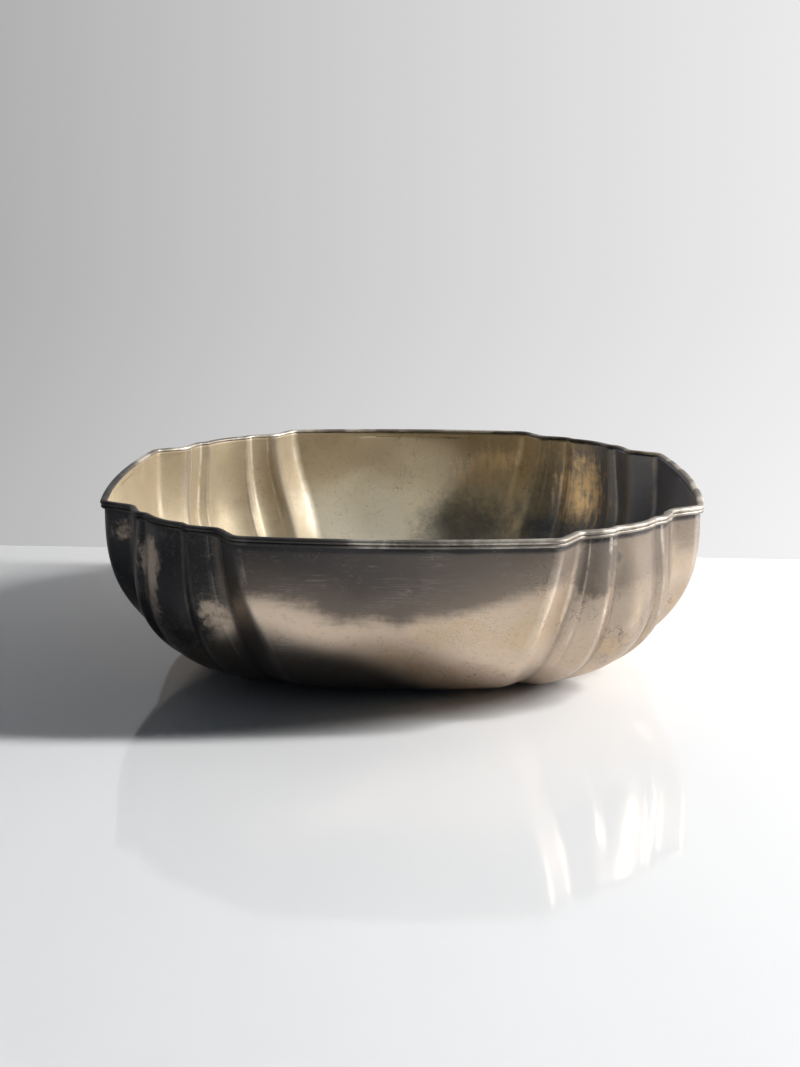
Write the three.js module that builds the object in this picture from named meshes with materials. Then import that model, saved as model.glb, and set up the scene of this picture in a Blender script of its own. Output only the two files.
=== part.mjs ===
import * as THREE from 'three';

// A square silver plated bowl with lobed corners and a moulded rim.
// Millimetres, +Z up. The flat underside rests on z = 0 with the bowl centred on the Z axis.

// Whole bowl
const overallWidth = 250;
const overallHeight = 74.2;
const sheetThickness = 1.0;
const seatGap = 0.3;

// Rim moulding: a round bead over a narrower band
const beadReach = 1.7;
const beadHeight = 1.9;
const beadInnerReach = 1.25;
const crownHeight = 1.1;
const bandReach = 1.4;
const bandHeight = 1.3;
const quirkReach = 1.0;

// Outline of one eighth of the rim, from the middle of a side to the corner diagonal
const sideEnd = { x: 59.2, y: 119.0 };
const fluteFoot = { x: 67.2, y: 104.9 };
const smallLobeTip = { x: 79.3, y: 101.1 };
const creaseFoot = { x: 81.4, y: 97.6 };
const cornerLobePeak = 91.0;
const smallLobeRise = 0.8;
const shoulderRadius = 6;
const fluteRadius = 7;
const smallLobeTipRadius = 3;
const creaseRadius = 3.4;

// Wall between the collar under the rim and the flat underside
const collarHeight = 2.9;
const baseRadius = 60;
const cornerBaseReach = 10;
const baseSpread = 0.06;
const cornerBelly = 2.2;
const cornerLobeBulge = 2.6;
const smallLobeBulge = 1.3;
const cornerFan = 7.5;
const bellyDepth = 0.62;
const sideFullness = { inward: 2.5, downward: 1.25 };
const cornerFullness = { inward: 1.9, downward: 3.0 };

// Fineness of the surfaces
const sideSteps = 5;
const lobeSteps = 2;
const cornerLobeSteps = 3;
const roundingSteps = 3;
const tightRoundingSteps = 2;
const wallRows = 10;
const rowCrowding = 1.2;

// Sizes that follow from the ones above
const sideMiddle = overallWidth / 2 - beadReach;
const lipTop = overallHeight - crownHeight - seatGap;
const collarFoot = lipTop - collarHeight;
const fluteOffDiagonal = Math.PI / 4 - Math.atan2(fluteFoot.x, fluteFoot.y);
const tipOffDiagonal = Math.PI / 4 - Math.atan2(smallLobeTip.x, smallLobeTip.y);
const creaseOffDiagonal = Math.PI / 4 - Math.atan2(creaseFoot.x, creaseFoot.y);
const silver = { color: 0x968b7b, roughness: 0.34, metalness: 1 };
const brightSilver = { color: 0xb4aa9a, roughness: 0.28, metalness: 1 };

// A shallow arc between two points, bowed outward by rise at its middle, without its end point
function bowedSpan(from, to, rise, steps) {
  const along = { x: to.x - from.x, y: to.y - from.y };
  const length = Math.hypot(along.x, along.y);
  const outward = { x: -along.y / length, y: along.x / length };
  const points = [];
  for (let i = 0; i < steps; i += 1) {
    const t = i / steps;
    const bow = 4 * rise * t * (1 - t);
    points.push({
      x: from.x + along.x * t + outward.x * bow,
      y: from.y + along.y * t + outward.y * bow,
    });
  }
  return points;
}

// Replace one corner of a path by an arc that touches both of its neighbouring straights
function roundedCorner(before, corner, after, radius, steps) {
  const a = new THREE.Vector2(before.x - corner.x, before.y - corner.y).normalize();
  const b = new THREE.Vector2(after.x - corner.x, after.y - corner.y).normalize();
  const halfAngle = Math.acos(THREE.MathUtils.clamp(a.dot(b), -1, 1)) / 2;
  const toCentre = radius / Math.sin(halfAngle);
  const bisector = a.clone().add(b).normalize();
  const centre = new THREE.Vector2(corner.x, corner.y).addScaledVector(bisector, toCentre);
  const reach = radius / Math.tan(halfAngle);
  const start = new THREE.Vector2(corner.x, corner.y).addScaledVector(a, reach).sub(centre);
  const end = new THREE.Vector2(corner.x, corner.y).addScaledVector(b, reach).sub(centre);
  const turn = Math.atan2(start.x * end.y - start.y * end.x, start.dot(end));
  const points = [];
  for (let i = 0; i <= steps; i += 1) {
    const arm = start.clone().rotateAround(new THREE.Vector2(), (turn * i) / steps);
    points.push({ x: centre.x + arm.x, y: centre.y + arm.y });
  }
  return points;
}

// Long side, shoulder, flute, small lobe, crease and half of the corner lobe
function eighthOutline() {
  const peak = { x: cornerLobePeak, y: cornerLobePeak };
  const mirroredFoot = { x: creaseFoot.y, y: creaseFoot.x };
  const chordMiddle = (creaseFoot.x + creaseFoot.y) / 2;
  const lobeRise = (cornerLobePeak - chordMiddle) * Math.SQRT2;
  const path = [];
  for (let i = 0; i < sideSteps; i += 1) {
    const t = i / sideSteps;
    path.push({ x: sideEnd.x * t, y: sideMiddle - (sideMiddle - sideEnd.y) * t * t });
  }
  path.push({ ...sideEnd, radius: shoulderRadius, steps: roundingSteps });
  path.push({ ...fluteFoot, radius: fluteRadius, steps: roundingSteps });
  path.push(...bowedSpan(fluteFoot, smallLobeTip, smallLobeRise, lobeSteps).slice(1));
  path.push({ ...smallLobeTip, radius: smallLobeTipRadius, steps: tightRoundingSteps });
  path.push({ ...creaseFoot, radius: creaseRadius, steps: tightRoundingSteps });
  const cornerLobe = bowedSpan(creaseFoot, mirroredFoot, lobeRise, 2 * cornerLobeSteps);
  path.push(...cornerLobe.slice(1, cornerLobeSteps), peak);
  return path.flatMap((point, i) => {
    if (!point.radius) return [point];
    return roundedCorner(path[i - 1], point, path[i + 1], point.radius, point.steps);
  });
}

// The eighth mirrored over the diagonal gives a quarter, and four quarter turns close the loop
function rimOutline() {
  const eighth = eighthOutline();
  const mirrored = eighth.slice(1, -1).reverse().map((point) => ({ x: point.y, y: point.x }));
  const quarter = [...eighth, ...mirrored];
  const loop = [];
  for (let turn = 0; turn < 4; turn += 1) {
    const centre = new THREE.Vector2();
    for (const point of quarter) {
      const turned = new THREE.Vector2(point.x, point.y);
      turned.rotateAround(centre, (-turn * Math.PI) / 2);
      loop.push(turned);
    }
  }
  return loop.reverse();
}

// Horizontal outward direction at each point of a counterclockwise loop
function outwardDirections(loop) {
  return loop.map((point, i) => {
    const before = loop[(i + loop.length - 1) % loop.length];
    const after = loop[(i + 1) % loop.length];
    const along = after.clone().sub(before).normalize();
    return new THREE.Vector2(along.y, -along.x);
  });
}

// The angle between a bearing and the nearest corner diagonal
function offDiagonal(bearing) {
  return Math.abs(THREE.MathUtils.euclideanModulo(bearing, Math.PI / 2) - Math.PI / 4);
}

// 1 across the lobes of a corner, 0 from the flutes on along the sides, with a smooth step between
function lobeShare(bearing) {
  return 1 - THREE.MathUtils.smoothstep(offDiagonal(bearing), tipOffDiagonal, fluteOffDiagonal);
}

// How far each lobe swells on its own: a parabola over the corner lobe, a lower one over the small
function lobeBulge(bearing) {
  const overCorner = 1 - (offDiagonal(bearing) / creaseOffDiagonal) ** 2;
  const smallLobeMiddle = (creaseOffDiagonal + fluteOffDiagonal) / 2;
  const halfSmallLobe = (fluteOffDiagonal - creaseOffDiagonal) / 2;
  const overSmall = 1 - ((offDiagonal(bearing) - smallLobeMiddle) / halfSmallLobe) ** 2;
  return cornerLobeBulge * Math.max(overCorner, 0) + smallLobeBulge * Math.max(overSmall, 0);
}

// The ring where the wall meets the flat underside: round, but further out under the corners
function basePoint(bearing) {
  const spreadBearing = bearing + baseSpread * Math.sin(4 * bearing);
  const radius = baseRadius + cornerBaseReach * lobeShare(bearing);
  return new THREE.Vector2(Math.cos(spreadBearing), Math.sin(spreadBearing)).multiplyScalar(radius);
}

// How far the wall swells beside its plain fall line: nothing at the collar and at the foot
function bellyShare(downShare) {
  return Math.sin(Math.PI * downShare ** (Math.log(0.5) / Math.log(bellyDepth)));
}

// Outside of the wall along one fall line, from the lip down to the base ring.
// The corners belly outward, each lobe a little more, and their creases and flutes fan away from
// the diagonal.
function fallLine(rimPoint) {
  const bearing = Math.atan2(rimPoint.y, rimPoint.x);
  const foot = basePoint(bearing);
  const outward = rimPoint.clone().normalize();
  const sideways = new THREE.Vector2(outward.y, -outward.x);
  const swell = cornerBelly * lobeShare(bearing) + lobeBulge(bearing);
  const cornerShare = Math.sin(2 * bearing) ** 2;
  const inward = THREE.MathUtils.lerp(sideFullness.inward, cornerFullness.inward, cornerShare);
  const downward = THREE.MathUtils.lerp(sideFullness.downward, cornerFullness.downward, cornerShare);
  const line = [new THREE.Vector3(rimPoint.x, rimPoint.y, lipTop)];
  for (let row = 0; row <= wallRows; row += 1) {
    const angle = (Math.PI / 2) * (row / wallRows) ** rowCrowding;
    const outShare = Math.max(Math.cos(angle), 0) ** (2 / inward);
    const downShare = Math.sin(angle) ** (2 / downward);
    const plan = foot.clone().lerp(rimPoint, row === wallRows ? 0 : outShare);
    plan.addScaledVector(outward, swell * bellyShare(downShare));
    plan.addScaledVector(sideways, cornerFan * Math.sin(4 * bearing) * bellyShare(downShare));
    line.push(new THREE.Vector3(plan.x, plan.y, collarFoot * (1 - downShare)));
  }
  return line;
}

// Inside of the wall: the outside moved in by the sheet thickness, square to the surface
function insideLines(outside) {
  const lastRow = outside[0].length - 1;
  return outside.map((line, i) => line.map((point, row) => {
    if (row === lastRow) return new THREE.Vector3(point.x, point.y, sheetThickness);
    const before = outside[(i + outside.length - 1) % outside.length][row];
    const after = outside[(i + 1) % outside.length][row];
    const around = after.clone().sub(before);
    const down = line[Math.max(row, 1)].clone().sub(line[Math.max(row - 1, 0)]);
    if (row > 1) down.copy(line[row + 1]).sub(line[row - 1]);
    const normal = down.cross(around).normalize();
    return point.clone().addScaledVector(normal, -sheetThickness);
  }));
}

// A closed mesh from shared vertices and triangle indices
function closedMesh(name, points, triangles, finish) {
  const geometry = new THREE.BufferGeometry().setFromPoints(points);
  geometry.setIndex(triangles.flat());
  geometry.computeVertexNormals();
  const mesh = new THREE.Mesh(geometry, new THREE.MeshStandardMaterial(finish));
  mesh.name = name;
  return mesh;
}

// Two triangles for every cell between two neighbouring closed rings of vertex numbers
function ringTriangles(upper, lower) {
  return upper.flatMap((vertex, i) => {
    const next = (i + 1) % upper.length;
    return [[vertex, lower[i], lower[next]], [vertex, lower[next], upper[next]]];
  });
}

// Raised sheet body: outside, flat underside, inside floor, inside and the lip edge
function bowlBody() {
  const loop = rimOutline();
  const outside = loop.map(fallLine);
  const inside = insideLines(outside);
  const rowCount = outside[0].length;
  const points = [];
  const rings = [];
  const addRing = (lines, row) => {
    rings.push(lines.map((line) => points.push(line[row]) - 1));
  };
  for (let row = 0; row < rowCount; row += 1) addRing(outside, row);
  for (let row = rowCount - 1; row >= 0; row -= 1) addRing(inside, row);
  const undersideCentre = points.push(new THREE.Vector3(0, 0, 0)) - 1;
  const floorCentre = points.push(new THREE.Vector3(0, 0, sheetThickness)) - 1;
  const triangles = [];
  for (let k = 0; k < rings.length - 1; k += 1) {
    if (k !== rowCount - 1) triangles.push(...ringTriangles(rings[k], rings[k + 1]));
  }
  triangles.push(...ringTriangles(rings[rings.length - 1], rings[0]));
  const underside = rings[rowCount - 1];
  const floor = rings[rowCount];
  for (let i = 0; i < loop.length; i += 1) {
    const next = (i + 1) % loop.length;
    triangles.push([undersideCentre, underside[next], underside[i]]);
    triangles.push([floorCentre, floor[i], floor[next]]);
  }
  return closedMesh('bowl_body', points, triangles, silver);
}

// Section of the rim moulding: reach out from the wall and height, counterclockwise
function mouldingSection() {
  const beadMiddle = overallHeight - beadHeight / 2;
  const quirk = overallHeight - beadHeight;
  const bandFoot = quirk - bandHeight;
  return [
    [seatGap, bandFoot],
    [bandReach * 0.8, bandFoot],
    [bandReach, bandFoot + bandHeight * 0.3],
    [bandReach, bandFoot + bandHeight * 0.7],
    [quirkReach, quirk],
    [beadReach * 0.93, beadMiddle - beadHeight * 0.3],
    [beadReach, beadMiddle],
    [beadReach * 0.8, beadMiddle + beadHeight * 0.32],
    [beadReach * 0.35, overallHeight],
    [-beadInnerReach * 0.4, overallHeight],
    [-beadInnerReach * 0.9, overallHeight - crownHeight * 0.4],
    [-beadInnerReach, lipTop + seatGap],
    [seatGap, lipTop + seatGap],
  ];
}

// Rim moulding: the section carried once around the outline and joined to itself
function rimWire() {
  const loop = rimOutline();
  const outward = outwardDirections(loop);
  const points = [];
  const rings = mouldingSection().map(([reach, height]) => loop.map((point, i) => {
    const place = point.clone().addScaledVector(outward[i], reach);
    return points.push(new THREE.Vector3(place.x, place.y, height)) - 1;
  }));
  const triangles = rings.flatMap((ring, k) => ringTriangles(rings[(k + 1) % rings.length], ring));
  return closedMesh('rim_wire', points, triangles, brightSilver);
}

const bowl = new THREE.Group();
bowl.name = 'square_lobed_bowl';
bowl.add(bowlBody());
bowl.add(rimWire());

export default bowl;
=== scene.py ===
# %% [markdown]
# A square bowl of silver plate, about a hand and a half wide, on a pale table.
# One sheet of metal makes the whole vessel: four gently bowed sides, a shoulder and a flute at
# the end of each side, and three lobes in every corner that fade into a flat round underside.
# A drawn moulding, a round bead over a narrow band, is soldered around the lip.
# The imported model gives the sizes. This script makes the same two pieces again as fine
# surfaces, because polished metal shows every facet in its reflections.

from math import radians

import bpy
import numpy as np
from mathutils import Matrix, Vector


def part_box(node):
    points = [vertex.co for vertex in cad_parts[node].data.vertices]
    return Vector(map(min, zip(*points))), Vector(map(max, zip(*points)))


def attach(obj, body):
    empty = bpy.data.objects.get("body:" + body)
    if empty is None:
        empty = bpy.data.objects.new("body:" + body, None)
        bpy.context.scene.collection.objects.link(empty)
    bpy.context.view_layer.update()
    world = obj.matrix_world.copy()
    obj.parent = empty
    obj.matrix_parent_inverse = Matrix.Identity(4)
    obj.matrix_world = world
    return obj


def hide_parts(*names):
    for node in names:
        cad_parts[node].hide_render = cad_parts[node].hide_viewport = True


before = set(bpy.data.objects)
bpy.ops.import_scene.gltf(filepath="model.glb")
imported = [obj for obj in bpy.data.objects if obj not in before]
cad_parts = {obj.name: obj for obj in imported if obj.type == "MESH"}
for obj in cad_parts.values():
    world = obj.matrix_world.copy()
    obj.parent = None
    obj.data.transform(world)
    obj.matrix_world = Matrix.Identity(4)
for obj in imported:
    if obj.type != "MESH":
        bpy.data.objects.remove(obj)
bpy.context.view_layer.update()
body_low, body_high = (np.array(corner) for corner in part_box("bowl_body"))
wire_low, wire_high = (np.array(corner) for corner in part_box("rim_wire"))
print("bowl box in metres", np.round(body_high - body_low, 4))
print("moulding box in metres", np.round(wire_high - wire_low, 4))

# %% [markdown]
# The camera comes first, because every later choice is judged through it.
# The picture was taken with a normal to short telephoto lens, from a little above the rim,
# looking down by thirteen degrees. A tiny roll makes the line behind the table slope.

# %% Camera at the photograph's viewing angle
camera_place = (0.0127, -0.6645, 0.2021)
camera_pitch = radians(13.06)
camera_yaw = radians(1.24)
camera_roll = radians(0.19)
camera_lens = 52.4

camera = bpy.data.objects.new("camera", bpy.data.cameras.new("camera"))
bpy.context.collection.objects.link(camera)
camera.data.lens = camera_lens
camera.data.sensor_width = 36.0
camera.data.clip_start = 0.01
turned = (
    Matrix.Rotation(camera_yaw, 4, "Z")
    @ Matrix.Rotation(radians(90) - camera_pitch, 4, "X")
    @ Matrix.Rotation(camera_roll, 4, "Z")
)
camera.matrix_world = Matrix.Translation(camera_place) @ turned
bpy.context.scene.camera = camera
bpy.context.scene.view_settings.view_transform = "Standard"
print("camera height over the table", camera_place[2])

# %% [markdown]
# The rim outline repeats itself eight times, so only one eighth of it is drawn: from the middle
# of a side to the corner diagonal. It could be traced point by point, but a chain of shallow
# bows and round arcs needs only the corners a silversmith would mark, and stays exact.

# %% Sizes of the rim outline, in metres
side_middle = body_high[1]
side_end = np.array([0.0592, 0.1190])
flute_foot = np.array([0.0672, 0.1049])
small_lobe_tip = np.array([0.0793, 0.1011])
crease_foot = np.array([0.0814, 0.0976])
corner_lobe_peak = 0.0910
small_lobe_rise = 0.0008
shoulder_radius = 0.006
flute_radius = 0.007
small_lobe_tip_radius = 0.003
crease_radius = 0.0034
side_points = 40
arc_points = 14
small_lobe_points = 12
corner_lobe_points = 41
shoulder_room = 1.05
print("half a side in metres", side_end[0], "and corner peak at", corner_lobe_peak)


# %% Bows and arcs
def heading(step):
    """The direction of a step, with length one."""
    return step / np.hypot(*step)


def bow(start, end, rise, trim, count):
    """A shallow parabola over the chord from start to end: the chord plus an outward bulge of
    4 * rise * t * (1 - t). The lengths in trim are left off at its two ends."""
    chord = end - start
    length = np.hypot(*chord)
    t = np.linspace(trim[0] / length, 1 - trim[1] / length, count)[:, None]
    outward = np.array([-chord[1], chord[0]]) / length
    return start + chord * t + outward * 4 * rise * t * (1 - t)


def bow_headings(start, end, rise):
    """The directions of a bow at its two ends: its chord turned by 4 * rise / length."""
    chord = end - start
    outward = np.array([-chord[1], chord[0]]) / np.hypot(*chord)
    return heading(chord + 4 * rise * outward), heading(chord - 4 * rise * outward)


def arc(corner, arriving, leaving, radius, count=arc_points):
    """The arc of a given radius that touches both directions at a corner, and how far from the
    corner it starts: radius times the tangent of half the turn."""
    side = np.sign(arriving[0] * leaving[1] - arriving[1] * leaving[0])
    turn = np.arccos(np.clip(arriving @ leaving, -1, 1))
    reach = radius * np.tan(turn / 2)
    inward = side * np.array([-arriving[1], arriving[0]])
    angle = np.linspace(0, turn, count)[:, None]
    start = corner - arriving * reach
    return start + radius * (arriving * np.sin(angle) + inward * (1 - np.cos(angle))), reach


# %% One eighth of the outline, then the whole loop
def eighth_outline():
    """Side, shoulder, flute, small lobe, crease and half of the corner lobe, joined end to end.
    The side is a parabola that drops with the square of the way along it. It stops a little
    before the shoulder starts."""
    peak = np.array([corner_lobe_peak, corner_lobe_peak])
    far_foot = crease_foot[::-1]
    lobe_rise = (corner_lobe_peak - crease_foot.mean()) * np.sqrt(2)
    bow_drop = side_middle - side_end[1]
    side_heading = heading(np.array([side_end[0], -2 * bow_drop]))
    flute_heading = heading(flute_foot - side_end)
    lobe_start, lobe_stop = bow_headings(flute_foot, small_lobe_tip, small_lobe_rise)
    tip_heading = heading(crease_foot - small_lobe_tip)
    corner_start, _ = bow_headings(crease_foot, far_foot, lobe_rise)
    shoulder, shoulder_reach = arc(side_end, side_heading, flute_heading, shoulder_radius)
    flute, flute_reach = arc(flute_foot, flute_heading, lobe_start, flute_radius)
    tip, tip_reach = arc(small_lobe_tip, lobe_stop, tip_heading, small_lobe_tip_radius)
    crease, crease_reach = arc(crease_foot, tip_heading, corner_start, crease_radius)
    t = np.linspace(0, 1 - shoulder_reach / side_end[0] * shoulder_room, side_points)
    side = np.column_stack([side_end[0] * t, side_middle - bow_drop * t**2])
    trim = (flute_reach, tip_reach)
    small_lobe = bow(flute_foot, small_lobe_tip, small_lobe_rise, trim, small_lobe_points)
    trim = (crease_reach, crease_reach)
    corner_lobe = bow(crease_foot, far_foot, lobe_rise, trim, corner_lobe_points)
    corner_lobe = corner_lobe[: corner_lobe_points // 2 + 1]
    corner_lobe[-1] = peak
    return np.vstack([side, shoulder, flute, small_lobe[1:-1], tip, crease, corner_lobe[1:]])


def whole_loop(eighth):
    """The eighth mirrored over the diagonal makes a quarter, four quarter turns close the loop,
    and the order is reversed so that it runs counterclockwise."""
    quarter = np.vstack([eighth, eighth[-2:0:-1, ::-1]])
    quarter_turns = [np.array([[1, 0], [0, 1]]), np.array([[0, -1], [1, 0]])]
    quarter_turns += [-quarter_turns[0], -quarter_turns[1]]
    return np.vstack([quarter @ turn for turn in quarter_turns])[::-1]


# %% Soften a loop and space its points
def softened(loop, softness, count, crowding, samples=8192):
    """The closed loop as a smooth curve with count points.
    Its points are read off evenly as complex numbers, and each Fourier term is damped by
    exp(-(frequency * softness)^2 / 2), which is a round brush of that width. The points are
    then spaced by the share 1 + crowding * bend, so that tight turns get more of them.
    Returns the points, the outward directions, the bend (one over the radius, negative in
    a hollow) and the length along the loop."""
    closed = np.vstack([loop, loop[:1]])
    steps = np.hypot(*np.diff(closed, axis=0).T)
    along = np.concatenate([[0], np.cumsum(steps)])
    total = along[-1]
    even = np.arange(samples) / samples * total
    places = np.interp(even, along, closed[:, 0]) + 1j * np.interp(even, along, closed[:, 1])
    frequency = 2 * np.pi * np.fft.fftfreq(samples, total / samples)
    terms = np.fft.fft(places) * np.exp(-((frequency * softness) ** 2) / 2)
    curve = np.fft.ifft(terms)
    speed = np.fft.ifft(1j * frequency * terms)
    change = np.fft.ifft(-(frequency**2) * terms)
    bend = (np.conj(speed) * change).imag / np.abs(speed) ** 3
    share = np.cumsum(1 + crowding * np.abs(bend))
    share = (share - share[0]) / share[-1]
    wanted = np.interp(np.arange(count) / count, share, np.arange(samples))
    picks = wanted.astype(int)
    outward = -1j * speed[picks] / np.abs(speed[picks])
    point = curve[picks]
    return (
        np.column_stack([point.real, point.imag]),
        np.column_stack([outward.real, outward.imag]),
        bend[picks],
        even[picks],
    )


rim, rim_outward, rim_bend, rim_along = softened(
    whole_loop(eighth_outline()), softness=0.0005, count=840, crowding=0.012
)
rim_bearing = np.arctan2(rim[:, 1], rim[:, 0])
print("rim points", len(rim), "length around in metres", round(float(rim_along[-1]), 3))
print("tightest hollow radius in mm", round(float(-1000 / rim_bend.min()), 2))

# %% [markdown]
# The wall falls from the rim to a flat foot. Each fall line is a quarter of a superellipse, the
# curve a raised bowl takes when it is worked fuller or leaner than a true ellipse. Under the rim
# the lobed corners belly out past it, like the ribs of a melon, and on the way down their creases
# and flutes fan away from the diagonal. Both moves follow one swell that is nothing at the collar
# and at the foot, so the creases keep their crisp section from the rim and need no work of
# their own.

# %% Sizes of the wall, in metres
sheet_thickness = 0.001
lip_top = body_high[2]
collar_height = 0.0029
foot_radius = 0.060
corner_foot_reach = 0.010
foot_spread = 0.06
corner_belly = 0.0022
lobe_bulge = 0.0026
small_lobe_bulge = 0.0013
corner_fan = 0.0075
belly_depth = 0.62
side_fullness = (2.5, 1.25)
corner_fullness = (1.9, 3.0)
wall_rows = 50
row_crowding = 1.35
collar_rows = 3
flat_rings = 7
print("wall height in metres", round(float(lip_top - collar_height), 4))


# %% Shares along and around the wall
def smooth_step(values, low, high):
    """0 below low, 1 above high, and 3 t^2 - 2 t^3 between them."""
    t = np.clip((values - low) / (high - low), 0, 1)
    return t * t * (3 - 2 * t)


def off_diagonal(bearing):
    """The angle from a bearing to the nearest diagonal of the square."""
    return np.abs(bearing % (np.pi / 2) - np.pi / 4)


def corner_angle(place):
    """The angle from the diagonal to a corner point of the drawn eighth."""
    return np.pi / 4 - np.arctan2(*place)


def lobe_share(bearing):
    """1 across the lobes of a corner and 0 from the flutes on along the sides. What counts is
    the angle to the nearest diagonal, between those of the small lobe's tip and its flute."""
    tip, flute = corner_angle(small_lobe_tip), corner_angle(flute_foot)
    return 1 - smooth_step(off_diagonal(bearing), tip, flute)


def bulge(bearing):
    """How far each lobe swells on its own between its creases: a parabola in the angle from the
    diagonal over the corner lobe, and a lower one over the small lobe, both 0 at the crease."""
    angle = off_diagonal(bearing)
    crease, flute = corner_angle(crease_foot), corner_angle(flute_foot)
    over_corner = np.clip(1 - (angle / crease) ** 2, 0, 1)
    from_middle = (angle - (crease + flute) / 2) / ((flute - crease) / 2)
    return lobe_bulge * over_corner + small_lobe_bulge * np.clip(1 - from_middle**2, 0, 1)


# %% Fall lines
def fall_lines(rim, bearing, rows):
    """Outside of the wall as a grid: one column for each rim point and one row for each angle.
    With the angle q going from 0 at the collar to 90 degrees at the foot, the way out is
    cos(q) to the power 2 / inward, and the way down is sin(q) to the power 2 / downward.
    The belly is sin(pi * way down ^ k), with k such that it is fullest at belly_depth."""
    in_corner = lobe_share(bearing)
    spread = bearing + foot_spread * np.sin(4 * bearing)
    reach = (foot_radius + corner_foot_reach * in_corner)[:, None]
    foot = reach * np.column_stack([np.cos(spread), np.sin(spread)])
    corner_share = (np.sin(2 * bearing) ** 2)[:, None]
    inward = side_fullness[0] + (corner_fullness[0] - side_fullness[0]) * corner_share
    downward = side_fullness[1] + (corner_fullness[1] - side_fullness[1]) * corner_share
    q = (np.pi / 2 * np.linspace(0, 1, rows) ** row_crowding)[None, :]
    out_share = np.clip(np.cos(q), 0, 1) ** (2 / inward)
    out_share[:, -1] = 0
    way_down = np.sin(q) ** (2 / downward)
    belly = np.sin(np.pi * way_down ** (np.log(0.5) / np.log(belly_depth)))
    outward = rim / np.hypot(*rim.T)[:, None]
    sideways = np.column_stack([outward[:, 1], -outward[:, 0]])
    plan = foot[:, None] + (rim - foot)[:, None] * out_share[..., None]
    swell_out = corner_belly * in_corner + bulge(bearing)
    plan += (outward * swell_out[:, None])[:, None] * belly[..., None]
    plan += (sideways * corner_fan * np.sin(4 * bearing)[:, None])[:, None] * belly[..., None]
    height = (lip_top - collar_height) * (1 - way_down)
    return np.dstack([plan, height]), out_share


# %% [markdown]
# A sheet that was worked by hand is never quite even. Flat or regular metal would mirror its
# surroundings too cleanly, so the wall swells and sinks by up to a third of a millimetre.

# %% Unevenness left by the hammer
swell_depth = 0.00022
swell_longest = 0.055
swell_shortest = 0.014
swell_waves = 36
swell_seed = 11


def unevenness(places, depth, longest, shortest, waves, seed):
    """A smooth seeded swell: the sum of plane waves with random directions, phases and lengths
    between shortest and longest, scaled so that most of it stays within depth."""
    seeded = np.random.default_rng(seed)
    directions = seeded.normal(size=(waves, 3))
    directions /= np.linalg.norm(directions, axis=1)[:, None]
    lengths = longest * (shortest / longest) ** seeded.random(waves)
    phases = seeded.random(waves) * 2 * np.pi
    waves_at = np.sin(places @ (directions * 2 * np.pi / lengths[:, None]).T + phases)
    return depth * waves_at @ (lengths / longest) / np.sqrt(waves)


def surface_normals(grid):
    """Unit normals of a grid that closes around: the cross product of its two neighbour steps."""
    around = np.roll(grid, -1, axis=0) - np.roll(grid, 1, axis=0)
    down = np.gradient(grid, axis=1)
    normals = np.cross(down, around)
    return normals / np.linalg.norm(normals, axis=2)[..., None]


# %% Outside and inside of the sheet
wall, out_share = fall_lines(rim, rim_bearing, wall_rows)
swell_fade = np.sin(np.pi * np.linspace(0, 1, wall_rows) ** 0.7) ** 0.8
swell = unevenness(wall, swell_depth, swell_longest, swell_shortest, swell_waves, swell_seed)
swell = swell * swell_fade
wall = wall + surface_normals(wall) * swell[..., None]
collar_heights = np.linspace(lip_top, lip_top - collar_height, collar_rows, endpoint=False)
collar = np.dstack(np.broadcast_arrays(rim[:, None, 0], rim[:, None, 1], collar_heights[None]))
outside = np.concatenate([collar, wall], axis=1)
normals = surface_normals(outside)
normals[:, 0] = normals[:, 1]
inside = outside - normals * sheet_thickness
inside[:, -1] = outside[:, -1] + [0, 0, sheet_thickness]
inside[:, 0, 2] = lip_top
print("wall grid", outside.shape[:2], "swell in mm", round(float(np.abs(swell).max() * 1000), 3))

# %% [markdown]
# The body is one closed skin. Its section starts at the middle of the underside, runs out to
# the foot ring, up the outside, over the lip, down the inside and back to the middle of the
# floor. Carrying this section around the rim gives a single grid with a pole at each end, so
# the sheet has its real thickness everywhere and no seam is left to close.


# %% Grids into meshes
def add_mesh(name, places, faces, attributes):
    """A smooth mesh object at the origin, with named values stored on its vertices."""
    mesh = bpy.data.meshes.new(name)
    mesh.from_pydata(places, [], faces)
    mesh.polygons.foreach_set("use_smooth", np.ones(len(mesh.polygons), dtype=bool))
    for key, values in attributes.items():
        layer = mesh.attributes.new(key, "FLOAT", "POINT")
        layer.data.foreach_set("value", np.ascontiguousarray(values, dtype=np.float32).ravel())
    mesh.update()
    thing = bpy.data.objects.new(name, mesh)
    bpy.context.collection.objects.link(thing)
    print(name, "has", len(places), "points and", len(faces), "faces")
    return thing


def ring_quads(columns, rows, closed_rows=False):
    """Four-sided faces of a grid that closes around, and along its section too if asked."""
    column = np.arange(columns)[:, None]
    row = np.arange(rows if closed_rows else rows - 1)[None, :]
    next_column, next_row = (column + 1) % columns, (row + 1) % rows
    corners = [column * rows + row, next_column * rows + row]
    corners += [next_column * rows + next_row, column * rows + next_row]
    return np.stack(corners, axis=-1).reshape(-1, 4)


# %% Bowl body
def flat_disc(edge_ring, shares):
    """Rings inside an edge ring, each the edge drawn in towards the axis by its share."""
    drawn_in = edge_ring[:, None] * np.array([1, 1, 0]) * shares[None, :, None]
    return drawn_in + edge_ring[:, None] * np.array([0, 0, 1])


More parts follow.
